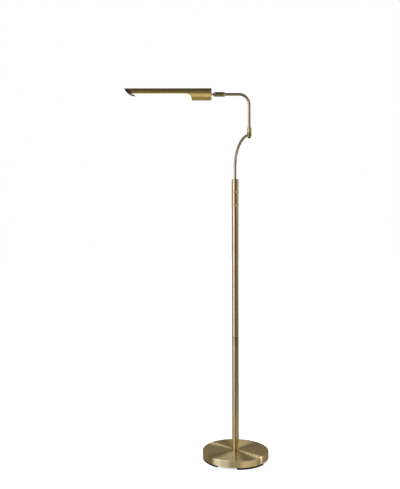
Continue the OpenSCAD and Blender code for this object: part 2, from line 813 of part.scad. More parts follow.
module tray_end_cap() color(iron) difference() {
    union() {
        along_shade(tail_x + tray_l, tray_cap_t) segment_2d(lens_h - ledge_t);
        lens_ledge(tail_x + tray_l - ledge_l);
    }
    port_hole(tail_x + tray_l - over, tray_cap_t + 2 * over);
}

module tray_screws() color(steel) {
    at_arm_line() translate([bulkhead_x, 0, port_h]) rotate([0, 90, 0])
        pan_screw(tray_screw_d, tray_screw_l, tray_head_d, tray_head_h);
    at_arm_line() translate([tray_end_x, 0, port_h]) rotate([0, -90, 0])
        pan_screw(tray_screw_d, tray_screw_l, tray_head_d, tray_head_h);
}

base_cover();
base_weight();
base_plate();
plate_screws();
foot_pads();
cord_bushing();
pole_stud();
base_nut();
base_washer();
pole_plug();
foot_ring();
pole_lower();
pole_coupler();
pole_upper();
core_tube();
trim_ring_lower();
switch_sleeve();
switch_track();
switch_wiper();
trim_ring_upper();
lock_collar();
grip_collet();
riser_guide();
guide_clips();
riser_rod();
elbow_eye();
elbow_bolt();
elbow_washers();
elbow_cap_nut();
elbow_barrel();
upper_arm();
arm_flange();
socket_end_ring();
swivel_socket();
socket_plug();
spring_washers();
ball_seat();
ball_stud();
shade_shell();
shade_end_cap();
stud_washer();
stud_nut();
driver();
bulkhead();
light_tray();
light_board();
light_chips();
diffuser();
tray_end_cap();
tray_screws();
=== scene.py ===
import json
import math

import bmesh
import bpy
import numpy as np
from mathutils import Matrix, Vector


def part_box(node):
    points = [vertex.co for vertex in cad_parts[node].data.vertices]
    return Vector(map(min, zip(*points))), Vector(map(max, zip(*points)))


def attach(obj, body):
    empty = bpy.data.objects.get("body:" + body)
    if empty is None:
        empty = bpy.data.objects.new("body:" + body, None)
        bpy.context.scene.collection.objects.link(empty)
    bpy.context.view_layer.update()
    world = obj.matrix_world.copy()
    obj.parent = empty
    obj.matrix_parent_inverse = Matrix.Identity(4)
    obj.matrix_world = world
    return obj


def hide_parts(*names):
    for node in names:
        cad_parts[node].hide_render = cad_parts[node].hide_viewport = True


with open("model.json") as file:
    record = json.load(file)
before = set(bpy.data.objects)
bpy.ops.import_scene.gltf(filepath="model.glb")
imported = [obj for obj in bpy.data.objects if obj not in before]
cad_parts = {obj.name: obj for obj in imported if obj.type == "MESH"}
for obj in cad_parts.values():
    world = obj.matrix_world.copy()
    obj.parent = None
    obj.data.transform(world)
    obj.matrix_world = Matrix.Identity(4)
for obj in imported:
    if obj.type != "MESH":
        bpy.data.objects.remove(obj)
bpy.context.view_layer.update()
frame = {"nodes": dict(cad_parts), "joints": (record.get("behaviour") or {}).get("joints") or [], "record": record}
mm = 0.001
record = frame["record"]
bodyOf = {node: body for body, nodes in record["behaviour"]["bodies"].items() for node in nodes}
slotOf = {part["node"]: part["material_slot"] for part in record["subparts"]}
joints = {joint["name"]: joint for joint in frame["joints"]}
print("frame loaded,", len(bodyOf), "nodes")


def nodeBox(node):
    lo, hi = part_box(node)
    return np.array(lo), np.array(hi)


# shapes

def gridCells(rows, cols, closeRows, closeCols):
    # cell (i, j) joins the points (i, j), (i+1, j), (i+1, j+1), (i, j+1); a closed side wraps to 0
    i, j = np.meshgrid(
        np.arange(rows if closeRows else rows - 1),
        np.arange(cols if closeCols else cols - 1), indexing="ij")
    rowAt = i.reshape(-1, 1) + np.array([0, 1, 1, 0])
    colAt = j.reshape(-1, 1) + np.array([0, 0, 1, 1])
    return rowAt % rows * cols + colAt % cols, rowAt, colAt


def runLengths(line, closed):
    # distance run along a line of points, at each of them and back at the first if it closes
    ends = np.roll(line, -1, axis=0) if closed else line[1:]
    steps = np.linalg.norm(ends - line[:len(ends)], axis=1)
    return np.concatenate([[0.0], np.cumsum(steps)])


def enclosedVolume(verts, faces):
    # sum over fan triangles of a . (b x c) / 6, positive if the faces point outwards
    total = 0.0
    for group in faces:
        p = verts[group]
        for k in range(1, group.shape[1] - 1):
            total += np.einsum("ij,ij->", p[:, 0], np.cross(p[:, k], p[:, k + 1]))
    return total / 6


def buildPiece(name, verts, faces, uvs, wear):
    # faces and uvs are matching groups of arrays, one row per face; the UV map is in metres
    if enclosedVolume(verts, faces) < 0:
        faces = [group[:, ::-1] for group in faces]
        uvs = [group[:, ::-1] for group in uvs]
    mesh = bpy.data.meshes.new(name)
    mesh.from_pydata(verts.tolist(), [], [face for group in faces for face in group.tolist()])
    layer = mesh.uv_layers.new(name="brush")
    layer.data.foreach_set("uv", np.concatenate([group.reshape(-1) for group in uvs]))
    # the wear mark: rubbed wear on turned edges and rims, and painted shade along the shade's nose
    wornAndShaded = mesh.attributes.new("wear", "FLOAT", "POINT")
    wornAndShaded.data.foreach_set("value", wear)
    mesh.shade_smooth()
    piece = bpy.data.objects.new(name, mesh)
    bpy.context.scene.collection.objects.link(piece)
    return piece


def gridPiece(name, points, closeRows, tips=None, wear=None):
    # points[i, j] is row i along the shape and column j round it; columns close on themselves,
    # and rows either close into a ring or end in fans to two tip points
    rows, cols = points.shape[:2]
    loops = np.linalg.norm(np.diff(points, axis=1), axis=2).sum(1)
    u = runLengths(points[np.argmax(loops)], True)
    v = runLengths(points[:, 0], closeRows)
    verts = points.reshape(-1, 3)
    wear = np.repeat(np.zeros(rows) if wear is None else wear, cols)
    quads, rowAt, colAt = gridCells(rows, cols, closeRows, True)
    faces, uvs = [quads], [np.stack([u[colAt], v[rowAt]], -1)]
    if not closeRows:
        if tips is None:
            tips = points[[0, -1]].mean(1)
        verts = np.vstack([verts, tips])
        wear = np.concatenate([wear, [0.0, 0.0]])
        j = np.arange(cols)
        after = (j + 1) % cols
        last = (rows - 1) * cols
        tip = np.full(cols, rows * cols)
        middle = (u[j] + u[j + 1]) / 2
        faces.append(np.stack([j, after, tip], -1))
        faces.append(np.stack([last + after, last + j, tip + 1], -1))
        first, final = np.full(cols, v[0]), np.full(cols, v[-1])
        inner = [np.linalg.norm(points[k, 0] - tips[k]) for k in (0, -1)]
        uvs.append(np.stack([np.stack([u[j], u[j + 1], middle], -1),
                             np.stack([first, first, first - inner[0]], -1)], -1))
        uvs.append(np.stack([np.stack([u[j + 1], u[j], middle], -1),
                             np.stack([final, final, final + inner[1]], -1)], -1))
    return buildPiece(name, verts, faces, uvs, wear)


def outline(corners, closed=True, steps=6, guardShare=0.35):
    # corners are (across, along, fillet): each becomes an arc tangent to both its sides, with one
    # more point just before and after it that keeps the flats flat under smooth shading
    spots = np.array([corner[:2] for corner in corners], float)
    parts, wornAndShaded = [], []
    for k, corner in enumerate(corners):
        fillet = corner[2]
        if fillet == 0:
            parts.append(spots[k:k + 1])
            wornAndShaded.append(np.zeros(1))
            continue
        back = spots[k - 1] - spots[k]
        ahead = spots[(k + 1) % len(spots)] - spots[k]
        back, ahead = back / np.linalg.norm(back), ahead / np.linalg.norm(ahead)
        half = math.acos(np.clip(back @ ahead, -1, 1)) / 2
        reach, turn = fillet / math.tan(half), math.pi - 2 * half
        bisector = (back + ahead) / np.linalg.norm(back + ahead)
        centre = spots[k] + bisector * fillet / math.sin(half)
        w = np.linspace(0, 1, steps + 1)[:, None]
        start, end = spots[k] + back * reach - centre, spots[k] + ahead * reach - centre
        arc = centre + (start * np.sin((1 - w) * turn) + end * np.sin(w * turn)) / math.sin(turn)
        guard = reach + fillet * guardShare
        parts.append(np.vstack([spots[k] + back * guard, arc, spots[k] + ahead * guard]))
        wornAndShaded.append(np.concatenate([[0.0], np.ones(steps + 1), [0.0]]))
    return np.vstack(parts), np.concatenate(wornAndShaded), closed


def axisFrame(origin, axis):
    # two unit directions square to the axis; for an upright axis the first points away from the viewer
    axis = np.array(axis, float)
    helper = np.array([-1.0, 0, 0]) if abs(axis[2]) > 0.9 else np.array([0, 0, 1.0])
    side = np.cross(helper, axis)
    side /= np.linalg.norm(side)
    return np.array(origin, float), side, np.cross(axis, side), axis


def lathe(name, profile, origin, axis, segments=96):
    # origin + along * axis + across * (side cos a + up sin a), for each profile point and angle a
    line, wear, closed = profile
    origin, side, up, axis = axisFrame(origin, axis)
    angle = np.arange(segments)[:, None] * 2 * math.pi / segments
    ring = np.cos(angle) * side + np.sin(angle) * up
    points = origin + line[:, 1, None, None] * axis + line[:, 0, None, None] * ring
    if closed:
        return gridPiece(name, points, True, wear=wear)
    return gridPiece(name, points[1:-1], False, points[[0, -1], 0], wear[1:-1])


def tube(name, path, side, outer, inner, segments=48, rimSteps=8):
    # round the path at the outer radius from end to end, then back along it at the inner one; the path
    # lies in a plane square to side, and each rim is half a circle from one wall to the other
    tangent = np.gradient(path, axis=0)
    tangent /= np.linalg.norm(tangent, axis=1, keepdims=True)
    up = np.cross(tangent, side)
    rim, middle = (outer - inner) / 2, (outer + inner) / 2
    a = np.linspace(0, math.pi, rimSteps + 1)[1:-1]
    wall = path.copy()
    wall[0] += rim * tangent[0]
    wall[-1] -= rim * tangent[-1]
    bulge = rim * np.sin(a)[:, None]
    spots = np.vstack([wall, wall[-1] + bulge * tangent[-1], wall[::-1], wall[0] - bulge * tangent[0]])
    flat = np.zeros((len(a), 1))
    ups = np.vstack([up, up[-1] + flat, up[::-1], up[0] + flat])
    straight, lift = np.ones(len(path)), rim * np.cos(a)
    radius = np.concatenate([outer * straight, middle + lift, inner * straight, middle - lift])
    wear = np.concatenate([0 * straight, np.ones(len(a)), 0 * straight, np.ones(len(a))])
    angle = np.arange(segments)[:, None] * 2 * math.pi / segments
    ring = np.cos(angle) * side + np.sin(angle) * ups[:, None]
    return gridPiece(name, spots[:, None] + radius[:, None, None] * ring, True, wear=wear)


def bentPath(foot, heading, low, high, bend, out, steps=48):
    # up from low, a quarter turn of the given radius that ends at height high, then level for out
    a = np.linspace(0, math.pi / 2, steps + 1)[1:]
    reach = np.concatenate([[0.0, 0.0], bend * (1 - np.cos(a)), [bend + out]])
    rise = np.concatenate([[low, high - bend], high - bend + bend * np.sin(a), [high]])
    flat = np.array([math.cos(heading), math.sin(heading), 0.0])
    foot = np.array([foot[0], foot[1], 0.0])
    return foot + reach[:, None] * flat + rise[:, None] * np.array([0, 0, 1.0])


# shader wiring

class Wire:
    # one output socket; sums, differences and products of wires add Math nodes
    def __init__(self, tree, socket=None):
        self.tree, self.socket = tree, socket

    def node(self, kind, settings=None, inputs=None, out=0):
        made = self.tree.nodes.new(kind)
        for key, value in (settings or {}).items():
            setattr(made, key, value)
        for key, value in (inputs or {}).items():
            if isinstance(value, Wire):
                self.tree.links.new(value.socket, made.inputs[key])
            else:
                made.inputs[key].default_value = value
        return Wire(self.tree, made.outputs[out])

    def math(self, operation, *values):
        return self.node("ShaderNodeMath", {"operation": operation}, dict(enumerate(values)))

    def __add__(self, other):
        return self.math("ADD", self, other)

    def __sub__(self, other):
        return self.math("SUBTRACT", self, other)

    def __rsub__(self, other):
        return self.math("SUBTRACT", other, self)

    def __mul__(self, other):
        return self.math("MULTIPLY", self, other)

    __radd__ = __add__
    __rmul__ = __mul__

    def vector(self, operation, inputs):
        return self.node("ShaderNodeVectorMath", {"operation": operation}, inputs)

    def smooth(self, low, high):
        settings = {"interpolation_type": "SMOOTHSTEP"}
        return self.node("ShaderNodeMapRange", settings, {0: self, 1: low, 2: high, 3: 0.0, 4: 1.0})

    def mix(self, factor, first, second):
        return self.node("ShaderNodeMix", {"data_type": "RGBA"}, {0: factor, 6: first, 7: second}, 2)

    def noise(self, vector, scale, detail):
        return self.node("ShaderNodeTexNoise", None, {"Vector": vector, "Scale": scale, "Detail": detail})

    def place(self):
        return self.node("ShaderNodeTexCoord", None, None, "Object")

    def split(self, vector, part):
        return self.node("ShaderNodeSeparateXYZ", None, {0: vector}, part)

    def wornAndShaded(self):
        return self.node("ShaderNodeAttribute", {"attribute_name": "wear"}, None, "Fac")

    def feed(self, shader, socketName):
        self.tree.links.new(self.socket, shader.inputs[socketName])

    def bump(self, shader, height, distance, strength):
        settings = {"Height": height, "Distance": distance, "Strength": strength}
        self.node("ShaderNodeBump", None, settings).feed(shader, "Normal")


def newFinish(name, **constants):
    finish = bpy.data.materials.new(name)
    finish.use_nodes = True
    tree = finish.node_tree
    shader = tree.nodes["Principled BSDF"]
    for key, value in constants.items():
        shader.inputs[key.replace("_", " ")].default_value = value
    return finish, shader, Wire(tree)


def tone(red, green, blue):
    # a screen colour of 0 to 255 as the linear colour that a shader takes
    part = np.array([red, green, blue]) / 255
    linear = np.where(part <= 0.04045, part / 12.92, ((part + 0.055) / 1.055) ** 2.4)
    return (*linear.tolist(), 1.0)


# metal finishes

def brushedMetal(name, look):
    # brush lines: noise that changes fast across the lines and slowly along them; a cloudy tarnish darkens
    # it, the wear mark takes the edge's tone (rubbed wear on turned edges, painted shade along the shade's nose),
    # and a look with a painted seam shade darkens from one height up to another
    finish, shader, wire = newFinish(name, Metallic=1.0, Anisotropic=look.get("streak", 0.0),
                                     Anisotropic_Rotation=look.get("streakTurn", 0.0))
    uv = wire.node("ShaderNodeUVMap", {"uv_map": "brush"})
    place = wire.place()
    slow = wire.vector("SCALE", {0: place, "Scale": look["along"]})
    across = wire.split(uv, look["across"]) * look["fine"]
    fast = wire.node("ShaderNodeCombineXYZ", None, {0: across})
    lines = wire.noise(wire.vector("ADD", {0: slow, 1: fast}), 1.0, 3.0)
    cloud = wire.noise(place, look["cloudScale"], 4.0).smooth(*look["cloudSpan"])
    wornAndShaded = wire.wornAndShaded() * wire.noise(place, look["wearScale"], 3.0).smooth(*look["wearSpan"])
    body = wire.mix(cloud * look["tarnish"], look["metal"], look["tarnished"])
    body = wire.mix(lines.smooth(*look["lineSpan"]) * look["lineTint"], body, look["tarnished"])
    # painted shade: darker from one height up to another
    if "dusk" in look:
        dusk = wire.split(place, 2).smooth(*look["dusk"])
        body = wire.mix(dusk * look["duskDepth"], body, look["duskTone"])
    wire.mix(wornAndShaded * look["wearTint"], body, look["edge"]).feed(shader, "Base Color")
    rough = look["rough"] + (lines - 0.5) * look["lineRough"] + cloud * look["cloudRough"]
    (rough - wornAndShaded * look["wearRough"]).feed(shader, "Roughness")
    wire.bump(shader, lines, look["lineDepth"], look["lineBump"])
    return finish


brassLook = {
    "metal": tone(225, 205, 157), "tarnished": tone(202, 177, 119), "edge": tone(243, 231, 196),
    "across": 1, "fine": 5200.0, "along": 9.0, "cloudScale": 22.0, "tarnish": 0.35, "lineTint": 0.06,
    "wearTint": 0.5, "rough": 0.2, "lineRough": 0.03, "lineDepth": 0.00001, "lineBump": 0.05,
    "lineSpan": (0.35, 0.75), "cloudSpan": (0.38, 0.72), "cloudRough": 0.04,
    "wearScale": 60.0, "wearSpan": (0.3, 0.6), "wearRough": 0.05,
}
turnedLook = {**brassLook, "fine": 2600.0, "along": 3.0, "cloudScale": 12.0, "rough": 0.29,
              "lineTint": 0.12, "streak": 1.0, "streakTurn": 0.25}
# the shade's edge tone is near-black, so its wear mark paints shade along the nose's cut
shadeLook = {**brassLook, "along": 5.0, "metal": tone(172, 153, 96), "tarnished": tone(152, 131, 74),
             "rough": 0.47, "edge": tone(16, 13, 9), "wearTint": 1.0}
tubeLook = {**brassLook, "across": 0, "along": 5.0, "metal": tone(206, 193, 160),
            "tarnished": tone(182, 167, 130)}
paleLook = {**brassLook, "metal": tone(237, 222, 182), "tarnished": tone(216, 197, 148), "rough": 0.44}
# the elbow eye's brass: satin roughness, and a darker tone than the barrel that is painted shade
satinLookPaintedShade = {**brassLook, "metal": tone(174, 152, 112), "tarnished": tone(150, 127, 87), "rough": 0.5}
barrelLook = {**brassLook, "rough": 0.38}
bronzeLook = {**brassLook, "metal": tone(190, 174, 146), "tarnished": tone(142, 126, 102),
              "edge": tone(190, 170, 132), "rough": 0.3, "tarnish": 0.6}
blackLook = {**bronzeLook, "metal": tone(80, 64, 42), "tarnished": tone(58, 46, 30), "rough": 0.36}

lowerTop = float(nodeBox("pole_lower")[1][2])
# the lower tube darkens over 48 mm up to its top: painted shade under the seam
lowerLook = {**brassLook, "dusk": (lowerTop - 48 * mm, lowerTop), "duskDepth": 0.26,
             "duskTone": tone(60, 42, 20)}

antiqueBrass = brushedMetal("antique_brass", brassLook)
lowerBrass = brushedMetal("lower_brass", lowerLook)
turnedBrass = brushedMetal("turned_brass", turnedLook)
shadeBrass = brushedMetal("shade_brass", shadeLook)
tubeBrass = brushedMetal("tube_brass", tubeLook)
paleBrass = brushedMetal("pale_brass", paleLook)
satinBrassPaintedShade = brushedMetal("satin_brass", satinLookPaintedShade)
barrelBrass = brushedMetal("barrel_brass", barrelLook)
darkBronze = brushedMetal("dark_bronze", bronzeLook)
blackBronze = brushedMetal("black_bronze", blackLook)


def grainedFinish(name, look, cloudSpan=(0.35, 0.7)):
    # fine grain on object coordinates for bump and roughness, and slow clouds between two tones
    finish, shader, wire = newFinish(name, Metallic=look.get("metallic", 0.0))
    place = wire.place()
    grain = wire.noise(place, look["grain"], 3.0)
    cloud = wire.noise(place, look["cloud"], 3.0).smooth(*cloudSpan)
    wire.mix(cloud, look["first"], look["second"]).feed(shader, "Base Color")
    (look["rough"] + (grain - 0.5) * look["vary"]).feed(shader, "Roughness")
    wire.bump(shader, grain, look["depth"], look["bump"])
    return finish


grainedLooks = {
    "plain_steel": {
        "metallic": 1.0, "grain": 900.0, "cloud": 90.0, "first": tone(196, 196, 192),
        "second": tone(172, 174, 172), "rough": 0.34, "vary": 0.2, "depth": 0.00002, "bump": 0.15},
    "cast_iron": {
        "metallic": 0.6, "grain": 700.0, "cloud": 45.0, "first": tone(74, 74, 76),
        "second": tone(58, 57, 58), "rough": 0.68, "vary": 0.3, "depth": 0.0003, "bump": 0.5},
    "black_steel": {
        "grain": 1400.0, "cloud": 30.0, "first": tone(30, 30, 30), "second": tone(38, 38, 37),
        "rough": 0.52, "vary": 0.18, "depth": 0.0001, "bump": 0.35},
    "rubber": {
        "grain": 1800.0, "cloud": 60.0, "first": tone(24, 24, 24), "second": tone(34, 33, 32),
        "rough": 0.74, "vary": 0.2, "depth": 0.0001, "bump": 0.4},
    "nylon": {
        "grain": 1100.0, "cloud": 80.0, "first": tone(226, 223, 212), "second": tone(216, 212, 200),
        "rough": 0.5, "vary": 0.15, "depth": 0.00005, "bump": 0.2},
    "aluminium": {
        "metallic": 1.0, "grain": 1200.0, "cloud": 70.0, "first": tone(206, 207, 208),
        "second": tone(190, 191, 193), "rough": 0.38, "vary": 0.2, "depth": 0.00002, "bump": 0.15},
    "white_plastic": {
        "grain": 1600.0, "cloud": 50.0, "first": tone(238, 236, 229), "second": tone(230, 228, 220),
        "rough": 0.42, "vary": 0.12, "depth": 0.00006, "bump": 0.25},
    "driver_case": {
        "grain": 1500.0, "cloud": 60.0, "first": tone(52, 52, 54), "second": tone(62, 62, 63),
        "rough": 0.56, "vary": 0.15, "depth": 0.00008, "bump": 0.3},
    "light_chip": {
        "grain": 1500.0, "cloud": 300.0, "first": tone(240, 214, 120), "second": tone(232, 200, 96),
        "rough": 0.3, "vary": 0.1, "depth": 0.00003, "bump": 0.15},
}
finishes = {name: grainedFinish(name, look) for name, look in grainedLooks.items()}

# the light's own place, which the finishes in and round it share
diffuserLo, diffuserHi = nodeBox("diffuser")
lightShape = {
    "end": float(diffuserLo[0]), "middle": float(diffuserLo[1] + diffuserHi[1]) / 2,
    "half": float(diffuserHi[1] - diffuserLo[1]) / 2, "pitch": 8 * mm, "fade": 16 * mm, "slant": 0.9,
    "border": (0.28, 1.25),
}
# near-black painted shade where the light's reach ends, and no glow there
paintedShadeTone, unlit = tone(30, 24, 16), (0, 0, 0, 1)


def lightReach(wire, place, shape):
    # 1 along the light and 0 past its end in the nose; the border slants, furthest out in the middle
    across = wire.split(place, 1) - shape["middle"]
    across = across.math("ABSOLUTE", across) * (1 / shape["half"])
    along = (wire.split(place, 0) - shape["end"]) * (1 / shape["fade"])
    return (along + (1 - across) * shape["slant"]).smooth(*shape["border"]), across


def opalFinish(look):
    # lit opal plate: bright along its two long edges, with a faint swell under each light chip; past the light's
    # end its glow fades out and its colour darkens to painted shade
    finish, shader, wire = newFinish("opal", Emission_Strength=look["strength"], Roughness=look["rough"])
    place = wire.place()
    reach, across = lightReach(wire, place, lightShape)
    phase = wire.split(place, 0) * (2 * math.pi / lightShape["pitch"])
    swell = phase.math("COSINE", phase) * look["swell"]
    glow = across.smooth(*look["edgeSpan"]) * (1 - look["swell"]) + swell
    plate = wire.mix(wire.noise(place, look["mottle"], 2.0), look["plate"], look["plateDeep"])
    wire.mix(reach, paintedShadeTone, plate).feed(shader, "Base Color")
    wire.mix(reach, unlit, wire.mix(glow, look["dim"], look["bright"])).feed(shader, "Emission Color")
    return finish


opal = opalFinish({
    "strength": 1.1, "rough": 0.45, "plate": tone(190, 182, 166), "plateDeep": tone(180, 171, 154),
    "mottle": 160.0, "dim": tone(205, 188, 158), "bright": tone(255, 249, 240), "edgeSpan": (0.3, 0.75),
    "swell": 0.03})
enamelGrain = {"scale": 700.0, "rough": 0.3, "vary": 0.2, "depth": 0.00003, "bump": 0.2}


def paintedLightLining(name, look):
    # what lies round the light: pale enamel with a painted glow standing for the light thrown on it, darkening to
    # painted shade in the nose where that light ends
    finish, shader, wire = newFinish(name, Emission_Strength=look["strength"])
    place = wire.place()
    grain = wire.noise(place, enamelGrain["scale"], 2.0)
    reach = lightReach(wire, place, lightShape)[0]
    wire.mix(reach, paintedShadeTone, look["enamel"]).feed(shader, "Base Color")
    wire.mix(reach, unlit, look["lit"]).feed(shader, "Emission Color")
    (enamelGrain["rough"] + grain * enamelGrain["vary"]).feed(shader, "Roughness")
    wire.bump(shader, grain, enamelGrain["depth"], enamelGrain["bump"])
    return finish


# the shade's inner wall, with its painted glow and painted shade
shadeLiningPaintedLight = paintedLightLining("shade_lining", {
    "enamel": tone(240, 234, 220), "lit": tone(255, 247, 232), "strength": 0.9})
# the apron and the tray's end cap: ivory with a dim painted glow, and painted shade up in the nose
apronIvoryPaintedLight = paintedLightLining("apron_ivory", {
    "enamel": tone(206, 190, 166), "lit": tone(120, 104, 84), "strength": 0.5})

finishes |= {"antique_brass": antiqueBrass, "pale_brass": paleBrass, "dark_bronze": darkBronze, "opal": opal}
for node, holder in frame["nodes"].items():
    holder.data.materials.clear()
    holder.data.materials.append(finishes[slotOf[node]])
# the tray's end cap takes the apron's finish, with its painted glow and painted shade
frame["nodes"]["tray_end_cap"].data.materials[0] = apronIvoryPaintedLight
print("finishes made:", len(bpy.data.materials))


def dress(piece, node, *looks):
    # the piece stands for the CAD node: same body, and the node's slot finish unless other finishes are given
    for finish in looks or [finishes[slotOf[node]]]:
        piece.data.materials.append(finish)
    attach(piece, bodyOf[node])
    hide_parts(node)
    return piece


def applyShape(piece):
    # the mesh that the piece's modifiers give becomes its own
    shape = bpy.data.meshes.new_from_object(piece.evaluated_get(bpy.context.evaluated_depsgraph_get()))
    piece.modifiers.clear()
    piece.data = shape


def joined(pieces, name):
    # one object: the first piece takes in the meshes of the others
    with bpy.context.temp_override(active_object=pieces[0], selected_editable_objects=pieces):
        bpy.ops.object.join()
    pieces[0].name = name
    return pieces[0]


def cutRound(piece, origin, axis, radius, length, segments=48):
    # drills the piece: a turned plug is taken away from it and then deleted
    plug = lathe("plug", outline([(0, 0, 0), (radius, 0, 0), (radius, length, 0), (0, length, 0)], False),
                 origin, axis, segments)
    drill = piece.modifiers.new("drill", "BOOLEAN")
    drill.operation, drill.solver, drill.object = "DIFFERENCE", "EXACT", plug
    applyShape(piece)
    bpy.data.objects.remove(plug)


# base

baseShape = {"wall": 2 * mm, "edge": 2 * mm, "lip": 0.5 * mm, "hole": 5.05 * mm, "innerEdge": 0.3 * mm,
             "inletHole": 5.05 * mm, "segments": 256}


def makeBaseCover(shape):
    lo, hi = nodeBox("base_cover")
    inlet = nodeBox("cord_bushing")
    r, wall, hole, lip = hi[0], shape["wall"], shape["hole"], shape["lip"]
    profile = outline([
        (hole, hi[2] - wall, 0), (hole, hi[2], shape["innerEdge"]), (r, hi[2], shape["edge"]),
        (r, lo[2], lip), (r - wall, lo[2], lip), (r - wall, hi[2] - wall, shape["innerEdge"])])
    cover = lathe("baseCover", profile, (0, 0, 0), (0, 0, 1), shape["segments"])
    inletZ = (inlet[0][2] + inlet[1][2]) / 2
    # through the rim at the back only
    cutRound(cover, (0, 0.9 * r, inletZ), (0, 1, 0), shape["inletHole"], 0.2 * r)
    return dress(cover, "base_cover", turnedBrass)


baseCover = makeBaseCover(baseShape)

bushingShape = {"bore": 3.5 * mm, "body": 5 * mm, "flange": 1.7 * mm, "fillet": 0.6 * mm,
                "innerEdge": 0.3 * mm, "segments": 64}


def makeCordBushing(shape):
    lo, hi = nodeBox("cord_bushing")
    wide, back = hi[0], hi[1] - shape["flange"]
    profile = outline([
        (shape["bore"], lo[1], 0), (shape["body"], lo[1], shape["innerEdge"]), (shape["body"], back, 0),
        (wide, back, 0), (wide, hi[1], shape["fillet"]), (shape["bore"], hi[1], shape["fillet"])])
    bushing = lathe("cordBushing", profile, (0, 0, (lo[2] + hi[2]) / 2), (0, 1, 0), shape["segments"])
    return dress(bushing, "cord_bushing")


makeCordBushing(bushingShape)

padShape = {"count": 4, "first": 26, "arc": 54, "width": 14 * mm, "round": 1.2 * mm, "topEdge": 0.4 * mm,
            "end": 1.6 * mm, "endSteps": 6, "steps": 33}


def makeFootPads(shape):
    # a rounded section carried along an arc of the foot circle; its ends draw in on a quarter circle
    lo, hi = nodeBox("foot_pads")
    width, tall = shape["width"], hi[2] - lo[2]
    middle = hi[0] - width / 2
    half = np.array([width / 2, tall / 2])
    section = outline([(-half[0], -half[1], shape["round"]), (half[0], -half[1], shape["round"]),
                       (half[0], half[1], shape["topEdge"]), (-half[0], half[1], shape["topEdge"])])[0]
    a = np.linspace(0, math.pi / 2, shape["endSteps"])
    inset = shape["end"] * (1 - np.sin(a))
    step = shape["end"] * (1 - np.cos(a)) / middle
    span = math.radians(shape["arc"])
    between = np.linspace(step[-1], span - step[-1], shape["steps"])[1:-1]
    turn = np.concatenate([step, between, (span - step)[::-1]])
    inset = np.concatenate([inset, 0 * between, inset[::-1]])
    shrink = 1 - inset[:, None] / half
    loops = section * shrink[:, None]
    pads = []
    for k in range(shape["count"]):
        angle = turn + math.radians(shape["first"] + k * 360 / shape["count"]) - span / 2
        r = middle + loops[:, :, 0]
        z = (lo[2] + hi[2]) / 2 + loops[:, :, 1]
        points = np.stack([r * np.cos(angle)[:, None], r * np.sin(angle)[:, None], z], -1)
        pads.append(gridPiece("footPad", points, False))
    return dress(joined(pads, "footPads"), "foot_pads")


makeFootPads(padShape)

# the cross recess of a screw, in shares of the head's radius and, for its depth, of the head's height
recessShape = {"arm": 0.13, "reach": 0.58, "soft": 0.06, "depth": 0.55}


def screwHead(name, seat, axis, shape, segments=72):
    # dome height * (1 - (r / radius)^4)^0.5 less a cross-shaped recess with sloping walls, on rings that
    # close up towards the head's edge, and a shank whose end tapers
    origin, side, up, axis = axisFrame(seat, axis)
    radius, height, shank, length = (shape[key] for key in ("radius", "head", "shank", "length"))
    shares = np.concatenate([np.linspace(0.02, 0.92, 30), np.sin(np.linspace(1.2, math.pi / 2, 8))])
    r = shares[:, None] * radius
    a = np.arange(segments)[None] * 2 * math.pi / segments
    x, y = np.abs(r * np.cos(a)), np.abs(r * np.sin(a))
    arm, reach, soft = (recessShape[key] * radius for key in ("arm", "reach", "soft"))
    within = lambda value, edge: np.clip((edge - value) / soft + 0.5, 0, 1)
    cross = np.maximum(within(x, arm) * within(y, reach), within(y, arm) * within(x, reach))
    lift = height * np.sqrt(np.clip(1 - (r / radius) ** 4, 0, 1)) - cross * recessShape["depth"] * height
    spread = r[:, :, None] * (np.cos(a)[..., None] * side + np.sin(a)[..., None] * up)
    top = origin + spread + lift[..., None] * axis
    ring = spread[-1] / radius
    below = np.array([[radius, 0], [shank, 0], [shank, -length], [0.7 * shank, -length - 0.3 * shank]])
    under = origin + below[:, 0, None, None] * ring + below[:, 1, None, None] * axis
    return gridPiece(name, np.concatenate([top, under]), False)


plateScrew = {"radius": 4 * mm, "head": 2 * mm, "shank": 2 * mm, "length": 9 * mm, "fromPad": 8 * mm}


def makePlateScrews(shape, pads):
    plateZ = nodeBox("base_plate")[0][2]
    ring = nodeBox("foot_pads")[1][0] - pads["width"] - shape["fromPad"]
    screws = []
    for k in range(pads["count"]):
        a = math.radians(pads["first"] + (k + 0.5) * 360 / pads["count"])
        seat = (ring * math.cos(a), ring * math.sin(a), plateZ)
        screws.append(screwHead("plateScrew", seat, (0, 0, -1), shape))
    return dress(joined(screws, "plateScrews"), "plate_screws")


makePlateScrews(plateScrew, padShape)
print("base made")

# pole

turnedRings = {
    "foot_ring": {"bore": 13.05 * mm, "top": 1.1 * mm, "foot": 0, "finish": antiqueBrass},
    "pole_lower": {"bore": 11.5 * mm, "top": 0.4 * mm, "foot": 0.4 * mm, "finish": lowerBrass},
    "pole_upper": {"bore": 11.5 * mm, "top": 1.2 * mm, "foot": 0.4 * mm, "finish": antiqueBrass},
    "trim_ring_lower": {"bore": 9.55 * mm, "top": 1.0 * mm, "foot": 1.0 * mm, "finish": paleBrass},
    "trim_ring_upper": {"bore": 9.55 * mm, "top": 1.0 * mm, "foot": 1.0 * mm, "finish": paleBrass},
    "switch_sleeve": {"bore": 9.55 * mm, "top": 1.2 * mm, "foot": 1.2 * mm, "finish": antiqueBrass},
    "lock_collar": {"bore": 5.4 * mm, "top": 1.2 * mm, "foot": 1.2 * mm, "finish": antiqueBrass},
}
boreEdge = 0.25 * mm


